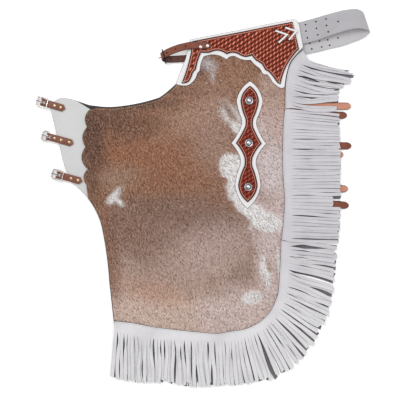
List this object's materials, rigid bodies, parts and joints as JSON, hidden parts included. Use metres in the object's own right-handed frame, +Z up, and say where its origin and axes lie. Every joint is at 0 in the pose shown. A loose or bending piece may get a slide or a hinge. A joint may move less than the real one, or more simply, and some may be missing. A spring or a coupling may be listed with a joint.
{
  "type": "leather chaps",
  "caption": "Hair-on hide chaps with fringe, tooled yoke, conchos, leg buckles and a laced belt, folded in half and laid flat",
  "frame": {"origin": "on the floor, under the centre of the laid garment's box", "axes": "+Z up from the floor, +Y to the waist along the legs, +X to the fringed outer seam"},
  "size_m": [0.9172, 1.0353, 0.0252],
  "materials": {
    "hair_hide": "short hair on cowhide, brown and white, flesh side inward",
    "pale_leather": "pale grey smooth chap leather",
    "white_leather": "off-white smooth leather",
    "tooled_leather": "chestnut leather stamped in a basket weave, satin",
    "strap_leather": "chestnut strap leather, satin",
    "strap_flesh": "flesh side of strap leather, matt",
    "nickel": "polished nickel",
    "rivet": "polished pale brass rivets"
  },
  "bodies": {
    "root": {"belt": "pale_leather", "buckle_frame_1": "nickel", "buckle_frame_2": "nickel", "buckle_frame_3": "nickel", "buckle_tab_1": "strap_leather", "buckle_tab_2": "strap_leather", "buckle_tab_3": "strap_leather", "concho_1": "nickel", "concho_2": "nickel", "concho_3": "nickel", "fringe_hem": "pale_leather", "fringe_hip": "pale_leather", "fringe_side": "pale_leather", "leg_flap": "pale_leather", "leg_hide": "hair_hide", "leg_strap_1": "strap_leather", "leg_strap_2": "strap_leather", "leg_strap_3": "strap_leather", "lower_buckle_1": "nickel", "lower_buckle_2": "nickel", "lower_buckle_3": "nickel", "lower_flap": "pale_leather", "lower_fringe_hem": "pale_leather", "lower_fringe_hip": "pale_leather", "lower_fringe_side": "pale_leather", "lower_hide": "hair_hide", "lower_strap_1": "strap_flesh", "lower_strap_2": "strap_flesh", "lower_strap_3": "strap_flesh", "lower_tab_1": "strap_leather", "lower_tab_2": "strap_leather", "lower_tab_3": "strap_leather", "lower_yoke": "white_leather", "ornament": "tooled_leather", "ornament_trim": "white_leather", "tab_rivet_1_1": "rivet", "tab_rivet_1_2": "rivet", "tab_rivet_2_1": "rivet", "tab_rivet_2_2": "rivet", "tab_rivet_2_3": "rivet", "tab_rivet_3_1": "rivet", "tab_rivet_3_2": "rivet", "thong_1": "white_leather", "thong_2": "white_leather", "waist_frame": "nickel", "waist_prong": "nickel", "waist_rivet_1": "rivet", "waist_rivet_2": "rivet", "waist_strap": "strap_leather", "yoke": "tooled_leather", "yoke_trim": "white_leather"},
    "prong_1": {"buckle_prong_1": "nickel"},
    "prong_2": {"buckle_prong_2": "nickel"},
    "prong_3": {"buckle_prong_3": "nickel"}
  },
  "joints": [
    {"name": "prong_1_hinge", "type": "hinge", "parent": "root", "child": "prong_1", "pos_m": [-0.43952, 0.26542, 0.0113], "axis": [0.2873, 0.9578, 0], "range_deg": [0, 150]},
    {"name": "prong_2_hinge", "type": "hinge", "parent": "root", "child": "prong_2", "pos_m": [-0.4244, 0.17083, 0.0113], "axis": [0.2631, 0.9648, 0], "range_deg": [0, 150]},
    {"name": "prong_3_hinge", "type": "hinge", "parent": "root", "child": "prong_3", "pos_m": [-0.39739, 0.06586, 0.0113], "axis": [0.2612, 0.9653, 0], "range_deg": [0, 150]}
  ]
}
